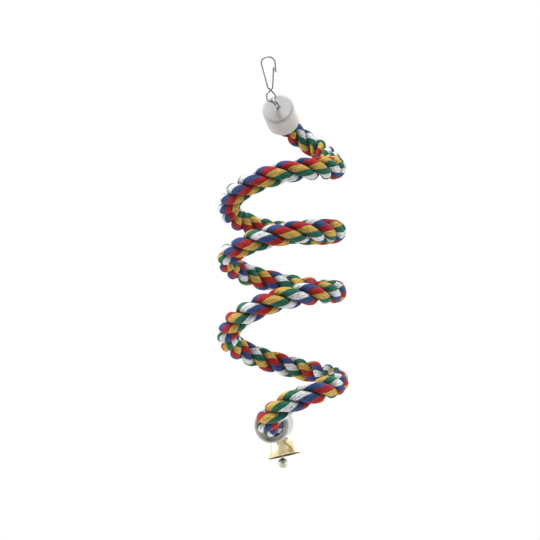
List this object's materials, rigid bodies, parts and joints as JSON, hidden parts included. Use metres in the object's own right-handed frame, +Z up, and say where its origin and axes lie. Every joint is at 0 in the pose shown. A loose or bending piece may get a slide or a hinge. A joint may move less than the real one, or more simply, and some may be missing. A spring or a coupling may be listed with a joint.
{
  "type": "hanging spiral rope bird perch",
  "caption": "Spiral cotton rope perch on a springy core wire, with capped ends, a wire snap hook to hang it from and a small bell below.",
  "frame": {"origin": "inside top of the hook's bow, the point the perch hangs from", "axes": "+Z up, +X to the viewer's right and +Y away from the viewer, in the pose of the picture"},
  "size_m": [0.1287, 0.1392, 0.3738],
  "materials": {
    "rope": "multicoloured twisted cotton",
    "core_steel": "drawn wire",
    "cap_plastic": "moulded, satin white",
    "glue": "set glue",
    "plated_wire": "nickel plated wire",
    "bell_metal": "polished",
    "clapper_metal": "nickel plated"
  },
  "bodies": {
    "hook": {"snap_hook": "plated_wire"},
    "gate": {"hook_gate": "plated_wire"},
    "perch": {"top_eye": "plated_wire", "top_washer": "core_steel", "top_nut": "core_steel", "top_glue": "glue", "top_cap": "cap_plastic", "spiral_rope": "rope", "core_wire": "core_steel"},
    "lower_end": {"bottom_cap": "cap_plastic", "bottom_glue": "glue", "bottom_eye": "plated_wire", "bottom_washer": "core_steel", "bottom_nut": "core_steel"},
    "bell": {"bell_shell": "bell_metal", "bell_loop": "plated_wire"},
    "clapper": {"clapper_wire": "clapper_metal", "clapper_ball": "clapper_metal"}
  },
  "joints": [
    {"name": "gate_spring", "type": "hinge", "parent": "hook", "child": "gate", "pos_m": [-0.004, 0.00045, -0.03597], "axis": [0, 1, 0], "range_deg": [-12, 0], "stiffness_Nm_per_rad": 0.02, "springref_deg": 5.73},
    {"name": "perch_swing", "type": "hinge", "parent": "hook", "child": "perch", "pos_m": [0, 0, -0.03897], "axis": [0, 1, 0], "range_deg": [-25, 25]},
    {"name": "spiral_stretch", "type": "slide", "parent": "perch", "child": "lower_end", "axis": [0, 0, -1], "range_m": [-0.04, 0.06], "stiffness_N_per_m": 100, "springref_m": -0.00278, "deforming": ["spiral_rope", "core_wire"]},
    {"name": "bell_swing", "type": "hinge", "parent": "lower_end", "child": "bell", "pos_m": [-0.01585, 0.01357, -0.33634], "axis": [0.2189, 0.9757, 0], "range_deg": [-30, 30]},
    {"name": "clapper_swing", "type": "hinge", "parent": "bell", "child": "clapper", "pos_m": [-0.01627, 0.01305, -0.34735], "axis": [0.219, 0.972, -0.085], "range_deg": [-38, 24]}
  ]
}
